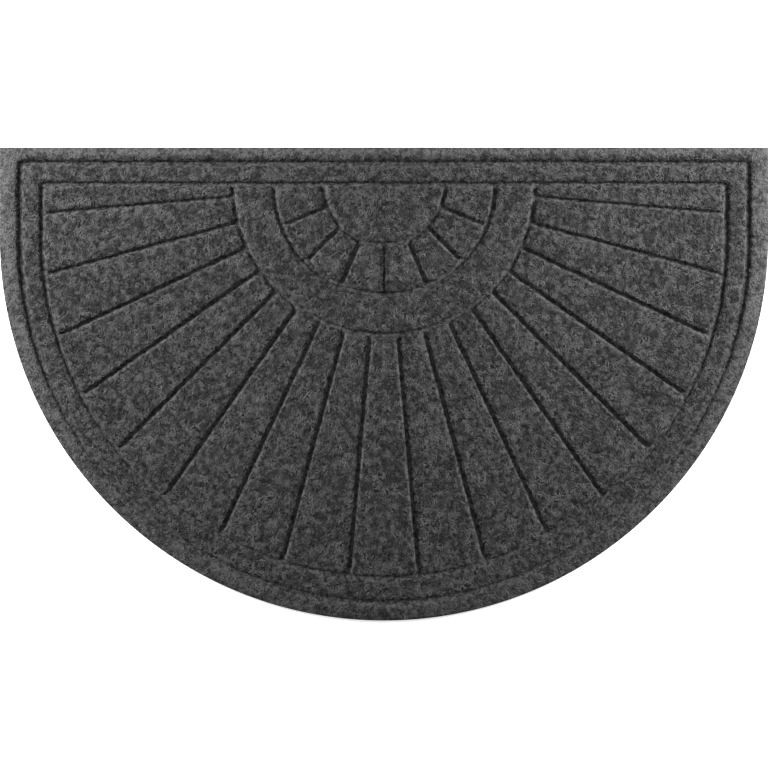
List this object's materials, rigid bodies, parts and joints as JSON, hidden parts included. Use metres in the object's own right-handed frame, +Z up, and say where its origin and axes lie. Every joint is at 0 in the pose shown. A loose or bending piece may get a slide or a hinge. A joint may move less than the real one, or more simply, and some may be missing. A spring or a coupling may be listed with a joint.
{
  "type": "half round doormat",
  "caption": "Flat half round doormat of charcoal needle punched felt, moulded with a double channel border and a fan of raised pads.",
  "frame": {"origin": "centre of the underside's bounding rectangle, at the level of the ground it lies on", "axes": "+X along the straight back edge, +Y from the round edge to the straight back edge, +Z up out of the pads"},
  "size_m": [0.9906, 0.6096, 0.008],
  "materials": {
    "felt": "matt needle punched felt of charcoal, black and grey fibres, heathered"
  },
  "bodies": {
    "root": {"mat": "felt"}
  },
  "joints": []
}
